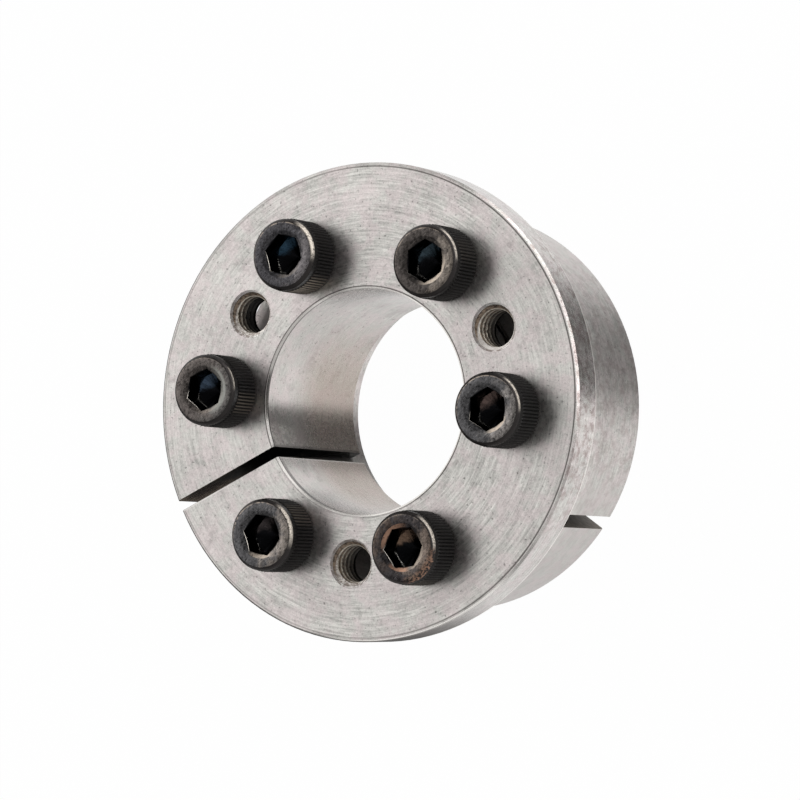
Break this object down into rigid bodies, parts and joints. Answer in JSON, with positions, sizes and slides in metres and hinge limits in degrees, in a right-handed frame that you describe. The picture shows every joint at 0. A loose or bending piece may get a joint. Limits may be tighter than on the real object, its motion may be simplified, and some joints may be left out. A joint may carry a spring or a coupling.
{
  "type": "shaft locking assembly",
  "caption": "Round keyless shaft clamp: a slit flanged inner ring with a tapered sleeve, drawn into a slit outer ring by socket-head screws through the flange.",
  "frame": {"origin": "centre of the outer ring's rear face, on the shaft axis; the part stands on that face", "axes": "+Z along the shaft axis, from the outer ring's rear face to the screw heads; +X towards the first clamp screw"},
  "size_m": [0.0636, 0.0636, 0.033],
  "materials": {
    "outer_ring_steel": "ground bare steel",
    "inner_ring_steel": "turned bare steel",
    "black_oxide": "black oxide over steel, worn bright at the edges",
    "stained_oxide": "black oxide with rust-brown stains"
  },
  "bodies": {
    "outer_ring": {"outer_ring": "outer_ring_steel"},
    "inner_ring": {"inner_ring": "inner_ring_steel"},
    "clamp_screw_1": {"clamp_screw_1": "black_oxide"},
    "clamp_screw_2": {"clamp_screw_2": "black_oxide"},
    "clamp_screw_3": {"clamp_screw_3": "black_oxide"},
    "clamp_screw_4": {"clamp_screw_4": "black_oxide"},
    "clamp_screw_5": {"clamp_screw_5": "black_oxide"},
    "clamp_screw_6": {"clamp_screw_6": "stained_oxide"}
  },
  "joints": [
    {"name": "ring_travel", "type": "slide", "parent": "outer_ring", "child": "inner_ring", "axis": [0, 0, 1], "range_m": [-0.0015, 0.002]},
    {"name": "screw_turn_1", "type": "hinge", "parent": "inner_ring", "child": "clamp_screw_1", "pos_m": [0.02151, 0, 0.0272], "axis": [0, 0, 1], "range_deg": [-540, 720]},
    {"name": "screw_turn_2", "type": "hinge", "parent": "inner_ring", "child": "clamp_screw_2", "pos_m": [0.01076, 0.01863, 0.0272], "axis": [0, 0, 1], "range_deg": [-540, 720]},
    {"name": "screw_turn_3", "type": "hinge", "parent": "inner_ring", "child": "clamp_screw_3", "pos_m": [-0.01076, 0.01863, 0.0272], "axis": [0, 0, 1], "range_deg": [-540, 720]},
    {"name": "screw_turn_4", "type": "hinge", "parent": "inner_ring", "child": "clamp_screw_4", "pos_m": [-0.02151, 0, 0.0272], "axis": [0, 0, 1], "range_deg": [-540, 720]},
    {"name": "screw_turn_5", "type": "hinge", "parent": "inner_ring", "child": "clamp_screw_5", "pos_m": [-0.01076, -0.01863, 0.0272], "axis": [0, 0, 1], "range_deg": [-540, 720]},
    {"name": "screw_turn_6", "type": "hinge", "parent": "inner_ring", "child": "clamp_screw_6", "pos_m": [0.01076, -0.01863, 0.0272], "axis": [0, 0, 1], "range_deg": [-540, 720]}
  ],
  "couplings": [
    {"joint": "screw_turn_1", "follows": "ring_travel", "rad_per_m": 6283.2},
    {"joint": "screw_turn_2", "follows": "ring_travel", "rad_per_m": 6283.2},
    {"joint": "screw_turn_3", "follows": "ring_travel", "rad_per_m": 6283.2},
    {"joint": "screw_turn_4", "follows": "ring_travel", "rad_per_m": 6283.2},
    {"joint": "screw_turn_5", "follows": "ring_travel", "rad_per_m": 6283.2},
    {"joint": "screw_turn_6", "follows": "ring_travel", "rad_per_m": 6283.2}
  ]
}
